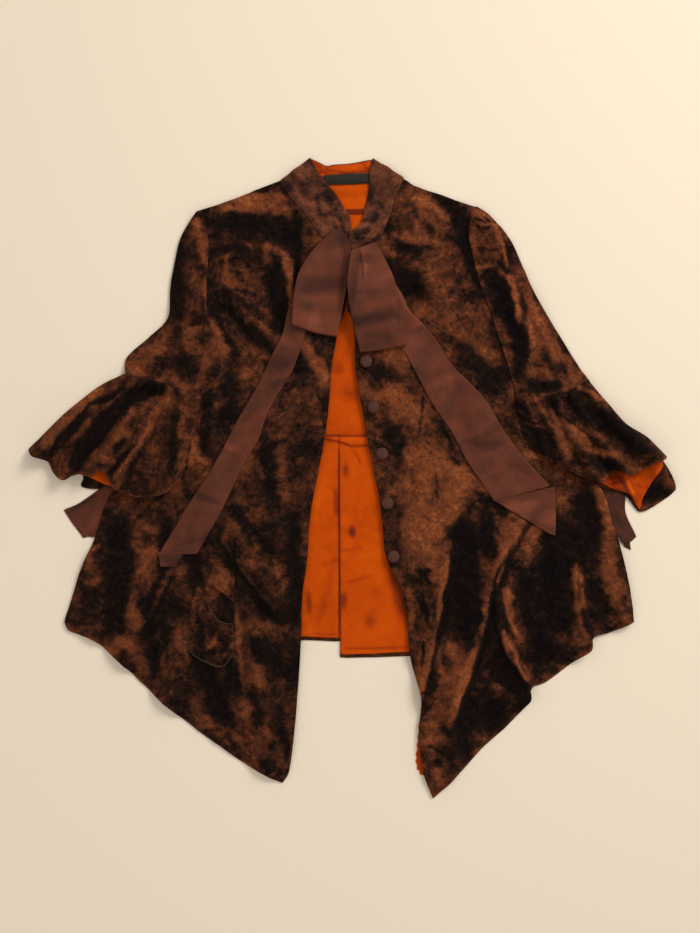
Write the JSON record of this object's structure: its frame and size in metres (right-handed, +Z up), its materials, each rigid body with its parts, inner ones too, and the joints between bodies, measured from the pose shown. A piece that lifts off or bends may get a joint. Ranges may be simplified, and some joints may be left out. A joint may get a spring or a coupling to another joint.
{
  "type": "velvet coat",
  "caption": "Short flared velvet coat laid flat, with long front points, flounced elbow sleeves, stand collar, silk lining and a ribbon bow.",
  "frame": {"origin": "middle of the laid coat's outline, on the table under it", "axes": "+Y towards the neck, +X towards the wearer's left, +Z up from the table"},
  "size_m": [0.972, 0.962, 0.0376],
  "materials": {
    "velvet": "crushed silk velvet, brown to rust",
    "lining": "plain orange silk",
    "ribbon": "brown silk ribbon",
    "label": "dark woven tape, blank"
  },
  "bodies": {
    "root": {"back_left": "velvet", "back_right": "velvet", "collar_back": "velvet", "collar_front_left": "velvet", "collar_front_right": "velvet", "flounce_left": "velvet", "flounce_right": "velvet", "flounce_under_left": "velvet", "flounce_under_right": "velvet", "front_left": "velvet", "front_right": "velvet", "pocket": "velvet", "pocket_flap": "velvet", "sleeve_left": "velvet", "sleeve_right": "velvet", "under_sleeve_left": "velvet", "under_sleeve_right": "velvet", "collar_lining": "lining", "flounce_lining_left": "lining", "flounce_lining_right": "lining", "lining_bodice": "lining", "lining_skirt_left": "lining", "lining_skirt_right": "lining", "cuff_ribbon_left": "ribbon", "cuff_ribbon_left_end": "ribbon", "cuff_ribbon_right": "ribbon", "loop_left": "ribbon", "loop_right": "ribbon", "neck_tape": "ribbon", "tail_end_left": "ribbon", "tail_end_right": "ribbon", "tail_left": "ribbon", "tail_right": "ribbon", "button_1": "ribbon", "button_2": "ribbon", "button_3": "ribbon", "button_4": "ribbon", "button_5": "ribbon", "label": "label"}
  },
  "joints": []
}
